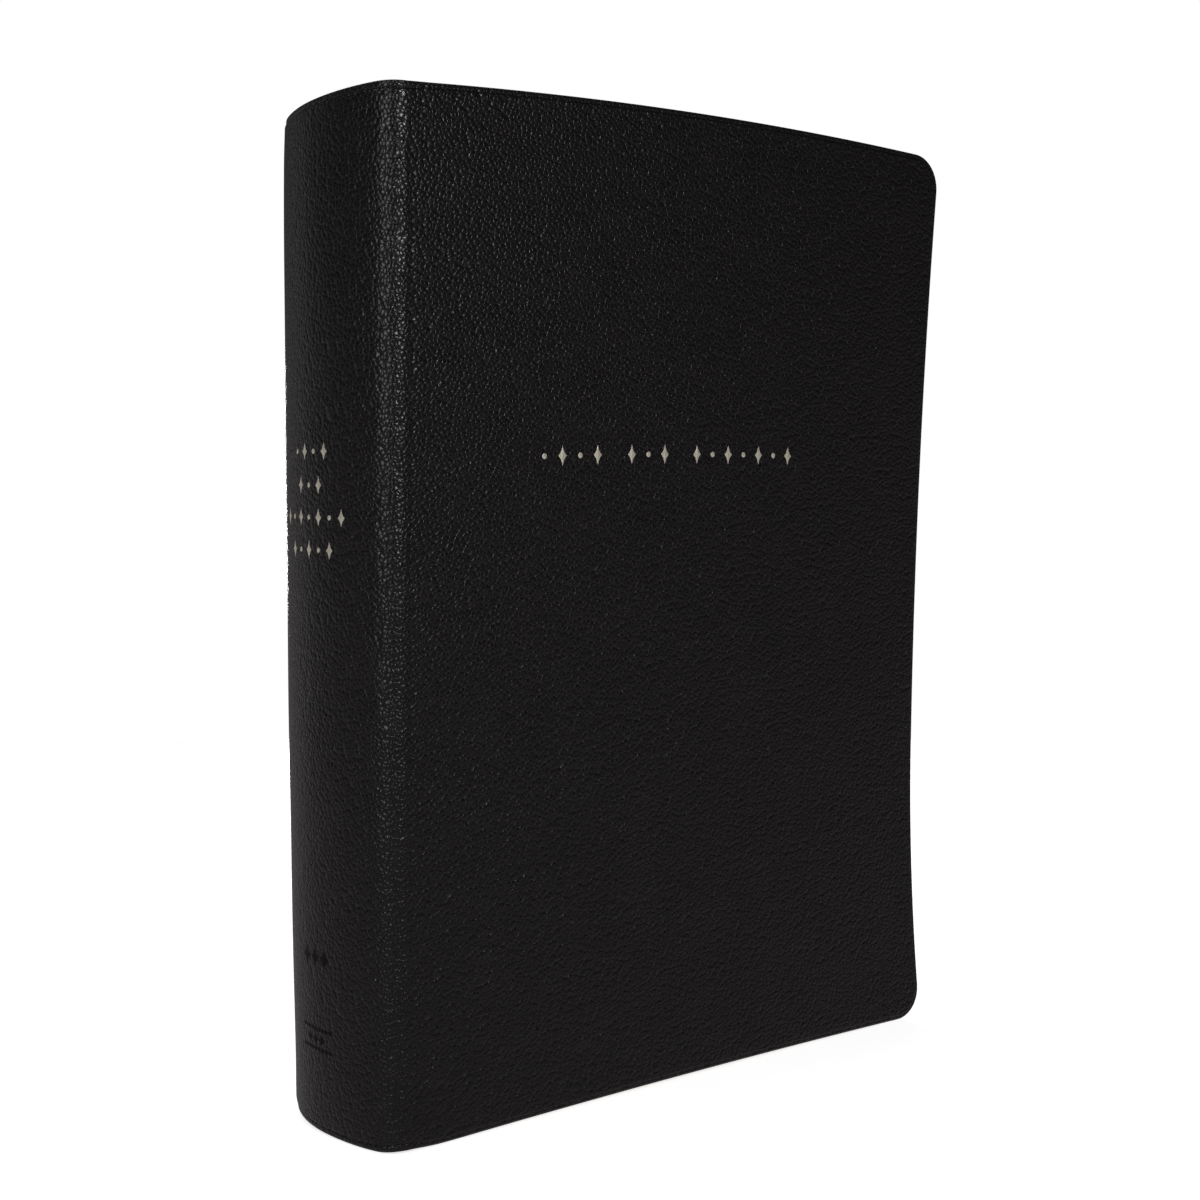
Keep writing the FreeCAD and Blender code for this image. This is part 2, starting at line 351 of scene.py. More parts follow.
def case_lines():
    """The lines of the layout inside its rim: across, then up."""
    half = steps(
        0,
        (ARC_LENGTH - 2 * MM, 1.3 * MM),
        (FLAT_START, 0.4 * MM),
        (SPLIT_U, 0.3 * MM),
        (SPLIT_U + 8 * MM, 0.5 * MM),
        (HALF_GIRTH - CORNER_R, 2.2 * MM),
    )
    return mirrored_steps(half), steps(CORNER_R, (HEIGHT - CORNER_R, 2.3 * MM))


def case_layout():
    """Stations (u, z, distance to the rim), the faces between them, and the ring at the rim."""
    across, upward = case_lines()
    columns, rows = len(across), len(upward)
    left, right = across[0], across[-1]
    low, high = upward[0], upward[-1]
    stations = []
    rings = []
    for inset in RIM_RINGS:
        radius = CORNER_R - inset
        ring = [(u, inset) for u in across]
        ring += corner_points(right, low, radius, -90)
        ring += [(right + radius, z) for z in upward]
        ring += corner_points(right, high, radius, 0)
        ring += [(u, HEIGHT - inset) for u in reversed(across)]
        ring += corner_points(left, high, radius, 90)
        ring += [(left - radius, z) for z in reversed(upward)]
        ring += corner_points(left, low, radius, 180)
        rings.append(list(range(len(stations), len(stations) + len(ring))))
        stations += [(u, z, inset) for u, z in ring]
    first = len(stations)
    for z in upward:
        for u in across:
            edge = min(u - left, right - u, z - low, high - z) + CORNER_R
            stations.append((u, z, edge))
    grid = [[first + j * columns + i for i in range(columns)] for j in range(rows)]
    in_corner = CORNER_STEPS - 1
    border = list(grid[0]) + [grid[0][-1]] * in_corner
    border += [row[-1] for row in grid] + [grid[-1][-1]] * in_corner
    border += list(reversed(grid[-1])) + [grid[-1][0]] * in_corner
    border += [row[0] for row in reversed(grid)] + [grid[0][0]] * in_corner
    rings.append(border)
    faces = []
    for outside, inside in zip(rings, rings[1:]):
        for k in range(len(outside)):
            following = (k + 1) % len(outside)
            quad = [outside[k], inside[k], inside[following], outside[following]]
            faces.append(list(dict.fromkeys(quad)))
    for j in range(rows - 1):
        for i in range(columns - 1):
            faces.append([grid[j][i], grid[j + 1][i], grid[j + 1][i + 1], grid[j][i + 1]])
    return np.array(stations), [f for f in faces if len(f) > 2], rings, grid, across


def corner_points(u, z, radius, start):
    """The points inside one rounded corner, without its ends."""
    turns = [math.radians(start + 90 * k / CORNER_STEPS) for k in range(1, CORNER_STEPS)]
    return [(u + radius * math.cos(t), z + radius * math.sin(t)) for t in turns]


def split_line(rings, grid, across, u):
    """The stations along one line up the case, from rim to rim."""
    column = across.index(u)
    other = len(across) + len(grid) + 2 * (CORNER_STEPS - 1) + len(across) - 1 - column
    return (
        [ring[column] for ring in rings[:-1]]
        + [row[column] for row in grid]
        + [ring[other] for ring in reversed(rings[:-1])]
    )


def build_case(material):
    """The leather, cut into four pieces that meet at the middle of the spine and just past each shoulder."""
    stations, faces, rings, grid, across = case_layout()
    u, z, edge = stations.T
    outer = place(u, z, outer_depth(u, z, edge))
    inner = place(u, z, inner_depth(u, edge))
    count = len(stations)
    rim = set(rings[0])
    back = np.array([k if k in rim else k + count for k in range(count)])
    points = np.concatenate([outer, inner])
    all_faces = faces + [[int(back[k]) for k in reversed(f)] for f in faces]
    all_faces = [f for f in all_faces if len(set(f)) == len(f)]
    normals = vertex_normals(points, all_faces)
    uv = np.tile(np.stack([u, z], axis=1), (2, 1))
    # A painted highlight: a share that is one at the rim and fades inward, which lightens the leather's
    # colour where the rounded edge catches light
    rim_highlight = np.tile(np.exp(-edge / RIM_HIGHLIGHT_REACH), 2)
    middle_u = [float(np.mean([uv[k][0] for k in f])) for f in all_faces]
    cuts = {c: split_line(rings, grid, across, c) for c in (-SPLIT_U, 0, SPLIT_U)}
    far = 2 * HALF_GIRTH
    pieces = {}
    for name, low, high in (
        ("leather_front_cover", -far, -SPLIT_U),
        ("leather_spine_front", -SPLIT_U, 0),
        ("leather_spine_back", 0, SPLIT_U),
        ("leather_back_cover", SPLIT_U, far),
    ):
        mine = [f for f, m in zip(all_faces, middle_u) if low < m < high]
        for cut, sense in ((low, 1), (high, -1)):
            if cut in cuts:
                mine += end_cap(cuts[cut], back, sense)
        used = sorted({k for f in mine for k in f})
        renumber = {k: i for i, k in enumerate(used)}
        obj = make_object(
            name,
            points[used],
            [[renumber[k] for k in f] for f in mine],
            uv[used],
            material,
            {"rim_highlight": rim_highlight[used]},
        )
        obj.data.normals_split_custom_set_from_vertices([tuple(n) for n in normals[used]])
        pieces[name] = obj
    return pieces


def end_cap(line, back, sense):
    """The cut face between the leather's face and its back, along one line."""
    faces = []
    for a, b in zip(line, line[1:]):
        quad = [a, b, int(back[b]), int(back[a])]
        quad = list(dict.fromkeys(quad))
        if len(quad) > 2:
            faces.append(quad[::sense])
    return faces


# ---------------- sheets that follow a cover

CORNER_ROWS = 6
SHEET_ROWS = 3.0 * MM  # between the rows of a card or a lining
COVER_COLUMNS = 70
INLAY_SPACING = 1.4 * MM


def leaf_rows(margin, corner, spacing):
    """The rows of a leaf, from its foot up, and how much its rounded corners cut off each one."""
    low, high = margin, HEIGHT - margin
    bend = [corner * (1 - math.cos(math.pi / 2 * k / CORNER_ROWS)) for k in range(CORNER_ROWS)]
    upward = [low + b for b in bend] + steps(low + corner, (high - corner, spacing))
    upward += [high - b for b in reversed(bend)]
    cuts = []
    for z in upward:
        into_corner = max(corner - min(z - low, high - z), 0)
        cuts.append(corner - math.sqrt(max(corner**2 - into_corner**2, 0)))
    return np.array(upward), np.array(cuts)


def leaf_grid(start, end, margin, corner, columns, spacing):
    """A grid of (along, up) over a leaf. Its two far corners are rounded."""
    up, cuts = leaf_rows(margin, corner, spacing)
    along = start + np.outer(end - cuts - start, np.linspace(0, 1, columns + 1))
    return np.stack([along, np.repeat(up[:, None], columns + 1, axis=1)], axis=-1)


def shell_faces(columns, rows, layers):
    """Faces of a closed block made of layers of the same grid: both faces, then the walls."""
    size = columns * rows
    last = (layers - 1) * size
    faces = []
    for j in range(rows - 1):
        for i in range(columns - 1):
            a, b = j * columns + i, (j + 1) * columns + i
            faces.append([a, b, b + 1, a + 1])
            faces.append([last + a, last + a + 1, last + b + 1, last + b])
    rim = list(range(columns))
    rim += [j * columns + columns - 1 for j in range(1, rows)]
    rim += [(rows - 1) * columns + i for i in range(columns - 2, -1, -1)]
    rim += [j * columns for j in range(rows - 2, 0, -1)]
    walls = []
    for layer in range(layers - 1):
        for a, b in zip(rim, rim[1:] + rim[:1]):
            near, far = layer * size, (layer + 1) * size
            walls.append([near + a, near + b, far + b, far + a])
    return faces, walls


def cover_sheet(name, side, start_x, end_x, margin, depths, material):
    """A sheet of card or paper that follows a cover, between two depths under its face."""
    corner = CORNER_R - margin
    start = FLAT_START + start_x - SHOULDER_X
    end = FLAT_START + end_x - SHOULDER_X
    grid = leaf_grid(start, end, margin, corner, COVER_COLUMNS, SHEET_ROWS)
    rows, columns = grid.shape[:2]
    flat = grid.reshape(-1, 2)
    points = np.concatenate([place(side * flat[:, 0], flat[:, 1], d) for d in depths])
    faces, walls = shell_faces(columns, rows, 2)
    faces = faces + walls
    if side > 0:
        faces = [f[::-1] for f in faces]
    uv = np.tile(flat, (2, 1))
    obj = make_object(name, points, faces, uv, material)
    sharpen(obj)
    return obj


def sharpen(obj, degrees=50):
    """Keeps the corners between a sheet's faces and its walls crisp."""
    obj.data.set_sharp_from_angle(angle=math.radians(degrees))


def spine_sheet(name, margin, depths, material):
    """A strip of card that follows the round of the spine."""
    across = mirrored_steps(steps(0, (ARC_LENGTH, INLAY_SPACING)))
    upward = steps(margin, (HEIGHT - margin, SHEET_ROWS))
    flat = np.array([(u, z) for z in upward for u in across])
    points = np.concatenate([place(flat[:, 0], flat[:, 1], d) for d in depths])
    faces, walls = shell_faces(len(across), len(upward), 2)
    obj = make_object(name, points, faces + walls, np.tile(flat, (2, 1)), material)
    sharpen(obj)
    return obj


# ---------------- the text block

PAGE_CORNER_R = 6.0 * MM
PAGE_ROWS = 6.0 * MM  # between the rows of points up a leaf
GATHERING_COLUMNS = 48
FLYLEAF_COLUMNS = 60
LAYERS = 5
CUT_GROOVE = 0.07 * MM  # between two gatherings, along their cut edges
GILT_END = 0.25 * MM

# The hollow of the fore edge: an arc through the first, the middle and the last gathering
BLOCK_HALF = -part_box("gathering_01")[0].y
BLOCK_FORE_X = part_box("gathering_01")[1].x
HOLLOW_SAG = BLOCK_FORE_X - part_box(f"gathering_{PER_HALF:02d}")[1].x
HOLLOW_R = (HOLLOW_SAG**2 + BLOCK_HALF**2) / (2 * HOLLOW_SAG)
HOLLOW_REACH = math.sqrt(HOLLOW_R**2 - BLOCK_HALF**2)


def pinched(points):
    """The text block is a little thinner towards its tail, like the case round it."""
    x, y, z = points.T
    pinch = np.where(y < 0, -SPREAD_TAIL[0], -SPREAD_TAIL[1]) * np.clip(1 - z / HEIGHT, 0, 1) ** 2
    y = y * (1 - pinch / CHORD)
    return np.stack([x, y, z], axis=-1)


def gathering_piece(number, page, gilt):
    """One gathering: a slab of leaves with a hollow fore edge and a groove where it meets the next."""
    node = f"gathering_{number:02d}"
    low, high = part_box(node)
    up, cuts = leaf_rows(low.z, PAGE_CORNER_R, PAGE_ROWS)
    share = np.linspace(0, 1, GATHERING_COLUMNS + 1)
    rows, columns = len(up), len(share)
    points = []
    flat = []
    for layer in range(LAYERS):
        t = layer / (LAYERS - 1)
        y = low.y + (high.y - low.y) * t
        hollow = math.sqrt(HOLLOW_R**2 - min(abs(y), BLOCK_HALF) ** 2) - HOLLOW_REACH
        groove = CUT_GROOVE * (2 * t - 1) ** 4
        x = low.x + np.outer(BLOCK_FORE_X - hollow - groove - cuts - low.x, share)
        z = HEIGHT / 2 + (up - HEIGHT / 2) * (1 - groove / (HEIGHT / 2))
        z = np.repeat(z[:, None], columns, axis=1)
        points.append(np.stack([x, np.full_like(x, y), z], axis=-1).reshape(-1, 3))
        flat.append(np.stack([x - low.x, z], axis=-1).reshape(-1, 2))
    points, flat = pinched(np.concatenate(points)), np.concatenate(flat)
    faces, walls = shell_faces(columns, rows, LAYERS)
    # The inner layers have only their rims, so the points that no face uses are left out.
    used = sorted({k for f in faces + walls for k in f})
    renumber = {k: i for i, k in enumerate(used)}
    kept = [[renumber[k] for k in f] for f in faces + walls]
    leaf = {"leaf": points[used][:, 1] / MM}
    obj = make_object(f"{node}_leaves", points[used], kept, flat[used], page, leaf)
    obj.data.materials.append(gilt)
    obj.data.polygons.foreach_set("material_index", [0] * len(faces) + [1] * len(walls))
    sharpen(obj, 40)
    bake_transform(obj)
    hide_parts(node)


def flyleaf_piece(node, material):
    """The free endpaper: one thicker leaf."""
    low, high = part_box(node)
    grid = leaf_grid(low.x, high.x, low.z, PAGE_CORNER_R, FLYLEAF_COLUMNS, PAGE_ROWS)
    rows, columns = grid.shape[:2]
    flat = grid.reshape(-1, 2)
    sides = [np.stack([flat[:, 0], np.full(len(flat), y), flat[:, 1]], axis=-1) for y in (low.y, high.y)]
    points = pinched(np.concatenate(sides))
    faces, walls = shell_faces(columns, rows, 2)
    obj = make_object(node + "_sheet", points, faces + walls, np.tile(flat, (2, 1)), material)
    sharpen(obj)
    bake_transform(obj)
    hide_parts(node)


# ---------------- bands


BAND_R = 1.05 * MM
BAND_INSET = 0.2 * MM
BAND_RIBS = 46
THREADS_PER_RIB = 4


def band_piece(node, name, material):
    """A wound end band: a roll with a rib for each turn of its silk, along the round of the folds."""
    low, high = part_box(node)
    centre_z = low.z + BAND_R if low.z < HEIGHT / 2 else high.z - BAND_R
    ring_r = ROUND_CENTRE_X - (low.x + BAND_R)
    reach = math.asin((high.y - BAND_INSET) / ring_r)
    around, along = 14, BAND_RIBS * 6
    points = []
    uv = []
    for i in range(along + 1):
        t = i / along
        turn = reach * (2 * t - 1)
        rib = 1 + 0.10 * abs(math.sin(math.pi * BAND_RIBS * t))
        taper = math.sqrt(max(1 - (2 * t - 1) ** 24, 0.0)) * 0.75 + 0.25
        r = BAND_R * rib * taper
        for k in range(around):
            angle = 2 * math.pi * k / around + 0.5 * turn
            out = ring_r + r * math.cos(angle)
            x = ROUND_CENTRE_X - out * math.cos(turn)
            points.append((x, out * math.sin(turn), centre_z + r * math.sin(angle)))
            uv.append((t, k / around))
    faces = []
    for i in range(along):
        for k in range(around):
            a, b = i * around + k, i * around + (k + 1) % around
            faces.append([a, b, b + around, a + around])
    faces.append(list(range(around))[::-1])
    faces.append([along * around + k for k in range(around)])
    obj = make_object(name, points, faces, uv, material)
    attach(obj, "spine")
    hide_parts(node)


# ---------------- foil and blind ornaments


def lozenge(u, z, half_u, half_z, waist=0.0):
    """A pointed shape whose sides are drawn in by waist."""
    corners = [(half_u, 0), (0, half_z), (-half_u, 0), (0, -half_z)]
    points = []
    for (u0, z0), (u1, z1) in zip(corners, corners[1:] + corners[:1]):
        for k in range(6):
            t = k / 6
            pull = 1 - waist * math.sin(math.pi * t)
            points.append((u + (u0 + (u1 - u0) * t) * pull, z + (z0 + (z1 - z0) * t) * pull))
    return points


def disc(u, z, radius):
    count = 20
    turns = [2 * math.pi * k / count for k in range(count)]
    return [(u + radius * math.cos(t), z + radius * math.sin(t)) for t in turns]


def bar(u, z, half_u, half_z):
    """A short rule with rounded ends."""
    points = []
    for side, start in ((1, -90), (-1, 90)):
        for k in range(9):
            t = math.radians(start + 180 * k / 8)
            points.append((u + side * (half_u - half_z) + half_z * math.cos(t), z + half_z * math.sin(t)))
    return points


FOIL_RISE = 0.035 * MM
BLIND_RISE = 0.02 * MM
STAMP_ROOT = 0.4 * MM  # how far a stamped shape's walls reach into the leather
STAMP_TOP = 0.93  # the size of its face, as a share of its outline
FAR_FROM_RIM = 20.0 * MM


def stamped(name, shapes, rise, material):
    """Small flat shapes pressed on the case, as one piece: each has a face and walls into the leather."""
    points = []
    faces = []
    flat = []
    for shape in shapes:
        base = len(points)
        count = len(shape)
        u, z = np.array(shape).T
        sunk = outer_depth(u, z, np.full(count, FAR_FROM_RIM))
        top_u = u.mean() + (u - u.mean()) * STAMP_TOP
        top_z = z.mean() + (z - z.mean()) * STAMP_TOP
        points += [tuple(p) for p in place(u, z, sunk + STAMP_ROOT)]
        points += [tuple(p) for p in place(u, z, sunk - rise / 2)]
        points += [tuple(p) for p in place(top_u, top_z, sunk - rise)]
        flat += list(zip(u, z)) * 3
        for k in range(count):
            following = (k + 1) % count
            for ring in (0, 1):
                a = base + ring * count
                faces.append([a + k, a + following, a + count + following, a + count + k])
        faces.append([base + 2 * count + k for k in range(count)])
        faces.append([base + k for k in reversed(range(count))])
    obj = make_object(name, points, faces, flat, material)
    sharpen(obj, 30)
    return obj


# ---------------- materials


class Nodes:
    """A small helper that builds one material's node tree."""

    def __init__(self, name):
        self.material = bpy.data.materials.new(name)
        self.material.use_nodes = True
        self.tree = self.material.node_tree
        self.shader = self.tree.nodes["Principled BSDF"]

    def add(self, kind, **settings):
        node = self.tree.nodes.new("ShaderNode" + kind)
        inputs = settings.pop("inputs", {})
        for key, value in settings.items():
            setattr(node, key, value)
        for key, value in inputs.items():
            if isinstance(value, bpy.types.NodeSocket):
                self.tree.links.new(value, node.inputs[key])
            else:
                node.inputs[key].default_value = value
        return node

    def surface(self):
        return self.add("UVMap", uv_map="surface").outputs["UV"]

    def math(self, operation, a, b=0.0):
        return self.add("Math", operation=operation, inputs={0: a, 1: b}).outputs[0]

    def within(self, value, low, high):
        above, below = self.math("GREATER_THAN", value, low), self.math("LESS_THAN", value, high)
        return self.math("MULTIPLY", above, below)

    def noise(self, vector, scale, detail=2.0, roughness=0.5):
        settings = {"Vector": vector, "Scale": scale, "Detail": detail, "Roughness": roughness}
        return self.add("TexNoise", inputs=settings).outputs["Fac"]

    def pebbles(self, feature, settings):
        node = self.add("TexVoronoi", feature=feature, voronoi_dimensions="2D", inputs=settings)
        return node.outputs["Distance"]

    def mapping(self, vector, scale, turn=0.0):
        settings = {"Vector": vector, "Scale": scale, "Rotation": (0, 0, turn)}
        return self.add("Mapping", inputs=settings).outputs["Vector"]

    def ramp(self, value, low, high, to_low=0.0, to_high=1.0, smooth_step=False):
        kind = "SMOOTHSTEP" if smooth_step else "LINEAR"
        settings = {"Value": value, 1: low, 2: high, 3: to_low, 4: to_high}
        return self.add("MapRange", interpolation_type=kind, inputs=settings).outputs[0]

    def blend_colour(self, factor, a, b):
        node = self.add("Mix", data_type="RGBA", inputs={0: factor})
        for socket, value in ((node.inputs[6], a), (node.inputs[7], b)):
            if isinstance(value, bpy.types.NodeSocket):
                self.tree.links.new(value, socket)
            else:
                socket.default_value = (*value, 1.0)
        return node.outputs[2]

    def set(self, **sockets):
        for key, value in sockets.items():
            socket = self.shader.inputs[key.replace("_", " ")]
            if isinstance(value, bpy.types.NodeSocket):
                self.tree.links.new(value, socket)
            elif isinstance(value, tuple) and len(value) == 3:
                socket.default_value = (*value, 1.0)
            else:
                socket.default_value = value
        return self.material

    def bump(self, height, distance, strength=1.0):
        settings = {"Height": height, "Distance": distance, "Strength": strength}
        return self.add("Bump", inputs=settings).outputs["Normal"]


PEBBLES = (880.0, 990.0, 1.0)  # to the metre, round the case and up it
PEBBLE_TURN = 0.35
PEBBLE_RELIEF = 0.25 * MM


def leather_material():
    """Black pebbled leather: low domes between creases, fine wrinkles over them, and a soft sheen."""
    n = Nodes("cover_leather")
    surface = n.surface()
    drift = n.add("TexNoise", inputs={"Vector": surface, "Scale": 420.0, "Detail": 2.0})
    middle = (0.5, 0.5, 0.5)
    centred = n.add("VectorMath", operation="SUBTRACT", inputs={0: drift.outputs["Color"], 1: middle})
    wander = n.add("VectorMath", operation="SCALE", inputs={0: centred.outputs[0], "Scale": 1.0 * MM})
    moved = n.add("VectorMath", operation="ADD", inputs={0: surface, 1: wander.outputs[0]}).outputs[0]
    cells = n.mapping(moved, PEBBLES, PEBBLE_TURN)
    tops = n.pebbles("SMOOTH_F1", {"Vector": cells, "Scale": 1.0, "Smoothness": 0.25})
    edges = n.pebbles("DISTANCE_TO_EDGE", {"Vector": cells, "Scale": 1.0})
    crease = n.ramp(edges, 0.0, 0.16, smooth_step=True)
    dome = n.math("SUBTRACT", 1.0, n.math("MULTIPLY", tops, tops))
    fine = n.noise(surface, 2400.0, 3.0, 0.6)
    slow = n.noise(surface, 90.0, 3.0)
    swell = n.noise(surface, 420.0, 2.0)
    height = n.math("MULTIPLY", dome, n.ramp(swell, 0.3, 0.7, 0.6, 1.1))
    height = n.math("ADD", height, n.math("MULTIPLY", crease, 0.10))
    height = n.math("ADD", height, n.math("MULTIPLY", fine, 0.06))
    height = n.math("ADD", height, n.math("MULTIPLY", slow, 0.5))
    highlight = n.add("Attribute", attribute_name="rim_highlight").outputs["Fac"]
    tone = n.blend_colour(n.ramp(slow, 0.3, 0.7), (0.0034, 0.0029, 0.0032), (0.0050, 0.0043, 0.0046))
    # Painted shade: the creases between the pebbles are given a darker colour
    tone = n.blend_colour(n.ramp(crease, 0.0, 1.0), (0.0022, 0.0020, 0.0021), tone)
    # Painted highlight: the leather's colour is lighter on its rounded rim, where the turned edge catches
    # light
    tone = n.blend_colour(n.math("MULTIPLY", highlight, 0.4), tone, (0.011, 0.010, 0.010))
    rough = n.ramp(crease, 0.0, 1.0, 0.38, 0.25)
    rough = n.math("ADD", rough, n.ramp(fine, 0.3, 0.7, -0.03, 0.05))
    normal = n.bump(height, PEBBLE_RELIEF)
    n.set(Base_Color=tone, Roughness=rough, Normal=normal)
    n.shader.inputs["Specular IOR Level"].default_value = 0.32
    return n.material


def endpaper_material():
    """Black endpaper with a fine pressed linen grain."""
    n = Nodes("endpaper")
    surface = n.surface()
    warp = n.noise(n.mapping(surface, (3200.0, 260.0, 1.0)), 1.0)
    weft = n.noise(n.mapping(surface, (260.0, 3200.0, 1.0)), 1.0)
    cloth = n.math("MAXIMUM", warp, weft)
    slow = n.noise(surface, 45.0, 3.0)
    tone = n.blend_colour(n.ramp(slow, 0.3, 0.7), (0.016, 0.016, 0.018), (0.024, 0.024, 0.027))
    tone = n.blend_colour(n.ramp(cloth, 0.4, 0.8), tone, (0.034, 0.034, 0.038))
    return n.set(
        Base_Color=tone,
        Roughness=n.ramp(cloth, 0.3, 0.8, 0.72, 0.6),
        Normal=n.bump(cloth, 0.06 * MM, 0.6),
    )


LINE_PITCH = 3.3 * MM
LINE_SHARE = (0.34, 0.72)  # the part of the pitch that is printed
TEXT_COLUMNS = ((14 * MM, 78 * MM), (84 * MM, 148 * MM))  # from the fold
TEXT_ROWS = (20 * MM, 214 * MM)
WORDS = 420.0  # noise cells to the metre, which set the length of the strokes
INK = 0.62


def page_material():
    """Thin ivory bible paper with two columns of faint printed lines, drawn as broken strokes."""
    n = Nodes("page_paper")
    surface = n.surface()
    split = n.add("SeparateXYZ", inputs={0: surface})
    x, z = split.outputs[0], split.outputs[1]
    lines = n.math("DIVIDE", z, LINE_PITCH)
    line = n.within(n.math("FRACT", lines), *LINE_SHARE)
    shifted = n.math("MULTIPLY", n.math("FLOOR", lines), 7.3)
    along = n.add("CombineXYZ", inputs={0: n.math("MULTIPLY", x, WORDS), 1: shifted})
    words = n.math("GREATER_THAN", n.noise(along.outputs[0], 1.0, 1.0), 0.43)
    column = n.math("ADD", *(n.within(x, *reach) for reach in TEXT_COLUMNS))
    block = n.math("MULTIPLY", column, n.within(z, *TEXT_ROWS))
    ink = n.math("MULTIPLY", n.math("MULTIPLY", line, words), block)
    cloud = n.noise(surface, 60.0, 4.0)
    fibre = n.noise(surface, 2200.0, 3.0, 0.6)
    paper = n.blend_colour(n.ramp(cloud, 0.3, 0.7), (0.80, 0.75, 0.64), (0.86, 0.82, 0.72))
    return n.set(
        Base_Color=n.blend_colour(n.math("MULTIPLY", ink, INK), paper, (0.12, 0.11, 0.10)),
        Roughness=n.ramp(fibre, 0.3, 0.7, 0.75, 0.9),
        Normal=n.bump(fibre, 0.03 * MM, 0.5),
    )


def gilt_material():
    """The gilded edge of the leaves: pale gold, streaked along the leaves."""
    n = Nodes("gilt_edge")
    leaf = n.add("Attribute", attribute_name="leaf").outputs["Fac"]
    split = n.add("SeparateXYZ", inputs={0: n.surface()})
    along = n.math("ADD", split.outputs[0], split.outputs[1])
    lines = n.add("CombineXYZ", inputs={0: n.math("MULTIPLY", leaf, 9.0), 1: n.math("MULTIPLY", along, 14.0)})
    streak = n.noise(lines.outputs[0], 1.0, 4.0, 0.65)
    cloud = n.noise(n.surface(), 55.0, 3.0)
    tone = n.blend_colour(n.ramp(streak, 0.3, 0.7), (0.52, 0.38, 0.17), (0.83, 0.67, 0.38))
    tone = n.blend_colour(n.ramp(cloud, 0.45, 0.75, 0.0, 0.35), tone, (0.70, 0.55, 0.33))
    n.set(
        Base_Color=tone,
        Roughness=n.ramp(streak, 0.3, 0.7, 0.42, 0.27),
        Normal=n.bump(streak, 0.05 * MM, 0.7),
    )
    n.shader.inputs["Metallic"].default_value = 0.9
    return n.material


def foil_material():
    """Pale gold foil pressed into leather, thin enough to show a little of the grain."""
    n = Nodes("foil")
    surface = n.surface()
    grain = n.noise(surface, 900.0, 3.0, 0.6)
    speck = n.noise(surface, 3000.0, 2.0)
    tone = n.blend_colour(n.ramp(grain, 0.25, 0.75), (0.78, 0.72, 0.56), (0.96, 0.92, 0.80))
    rough = n.ramp(speck, 0.3, 0.7, 0.34, 0.50)
    n.set(Base_Color=tone, Roughness=rough, Normal=n.bump(grain, 0.05 * MM, 0.6))
    n.shader.inputs["Metallic"].default_value = 0.85
    return n.material


def blind_material():
    """Leather pressed flat by a heated tool, which darkens it and takes its shine."""
    n = Nodes("blind_tooling")
    surface = n.surface()
    fine = n.noise(surface, 2200.0, 3.0)
    tone = n.blend_colour(n.ramp(fine, 0.3, 0.7), (0.0012, 0.0011, 0.0011), (0.0022, 0.0020, 0.0020))
    n.set(Base_Color=tone, Roughness=n.ramp(fine, 0.3, 0.7, 0.42, 0.55), Normal=n.bump(fine, 0.03 * MM))
    n.shader.inputs["Specular IOR Level"].default_value = 0.12
    return n.material


def fibre_nodes(name, dark, light, scale, roughness, stretch=(1.0, 1.0, 1.0)):
    """Card, kraft paper, thread and folds: a matt fibre with two tones, stretched along its grain.

    Returns the nodes and the colour that they make.
    """
    n = Nodes(name)
    at = n.add("TexCoord").outputs["Object"]
    fibre = n.noise(n.mapping(at, tuple(scale * s for s in stretch)), 1.0, 4.0, 0.6)
    cloud = n.noise(at, 120.0, 2.0)
    mixed = n.math("MULTIPLY", n.math("ADD", fibre, cloud), 0.5)
    tone = n.blend_colour(n.ramp(mixed, 0.35, 0.65), dark, light)
    n.set(
        Base_Color=tone,
        Roughness=n.ramp(fibre, 0.3, 0.7, roughness, roughness + 0.12),
        Normal=n.bump(fibre, 0.05 * MM),
    )
    return n, tone


def fibre_material(*settings):
    return fibre_nodes(*settings)[0].material


def fold_material():
    """The sewn backs of the gatherings: paper, gilded at the head and the tail with the other edges."""
    n, paper = fibre_nodes(
        "fold_paper", (0.58, 0.52, 0.42), (0.80, 0.75, 0.64), 1400.0, 0.8, (0.05, 1.0, 0.02)
    )
    z = n.add("SeparateXYZ", inputs={0: n.add("TexCoord").outputs["Object"]}).outputs[2]
    low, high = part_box("sewn_folds")
    tail = n.math("LESS_THAN", z, low.z + GILT_END)
    head = n.math("GREATER_THAN", z, high.z - GILT_END)
    ends = n.math("MAXIMUM", tail, head)
    gilded = n.blend_colour(ends, paper, (0.68, 0.53, 0.28))
    return n.set(Base_Color=gilded, Metallic=n.math("MULTIPLY", ends, 0.9))


MULL_THREADS = 5200.0  # radians to the metre, so one thread each 1.2 mm


def mull_material():
    """Open-weave cloth."""
    n = Nodes("mull_cloth")
    at = n.add("TexCoord").outputs["Object"]
    split = n.add("SeparateXYZ", inputs={0: at})
    across = n.math("SINE", n.math("MULTIPLY", split.outputs[1], MULL_THREADS))
    upward = n.math("SINE", n.math("MULTIPLY", split.outputs[2], MULL_THREADS))
    weave = n.math("MAXIMUM", across, upward)
    fuzz = n.noise(at, 1800.0, 3.0)
    tone = n.blend_colour(n.ramp(weave, -0.6, 0.8), (0.42, 0.38, 0.32), (0.84, 0.80, 0.72))
    rough = n.ramp(fuzz, 0.3, 0.7, 0.85, 0.95)
    return n.set(Base_Color=tone, Roughness=rough, Normal=n.bump(weave, 0.12 * MM))


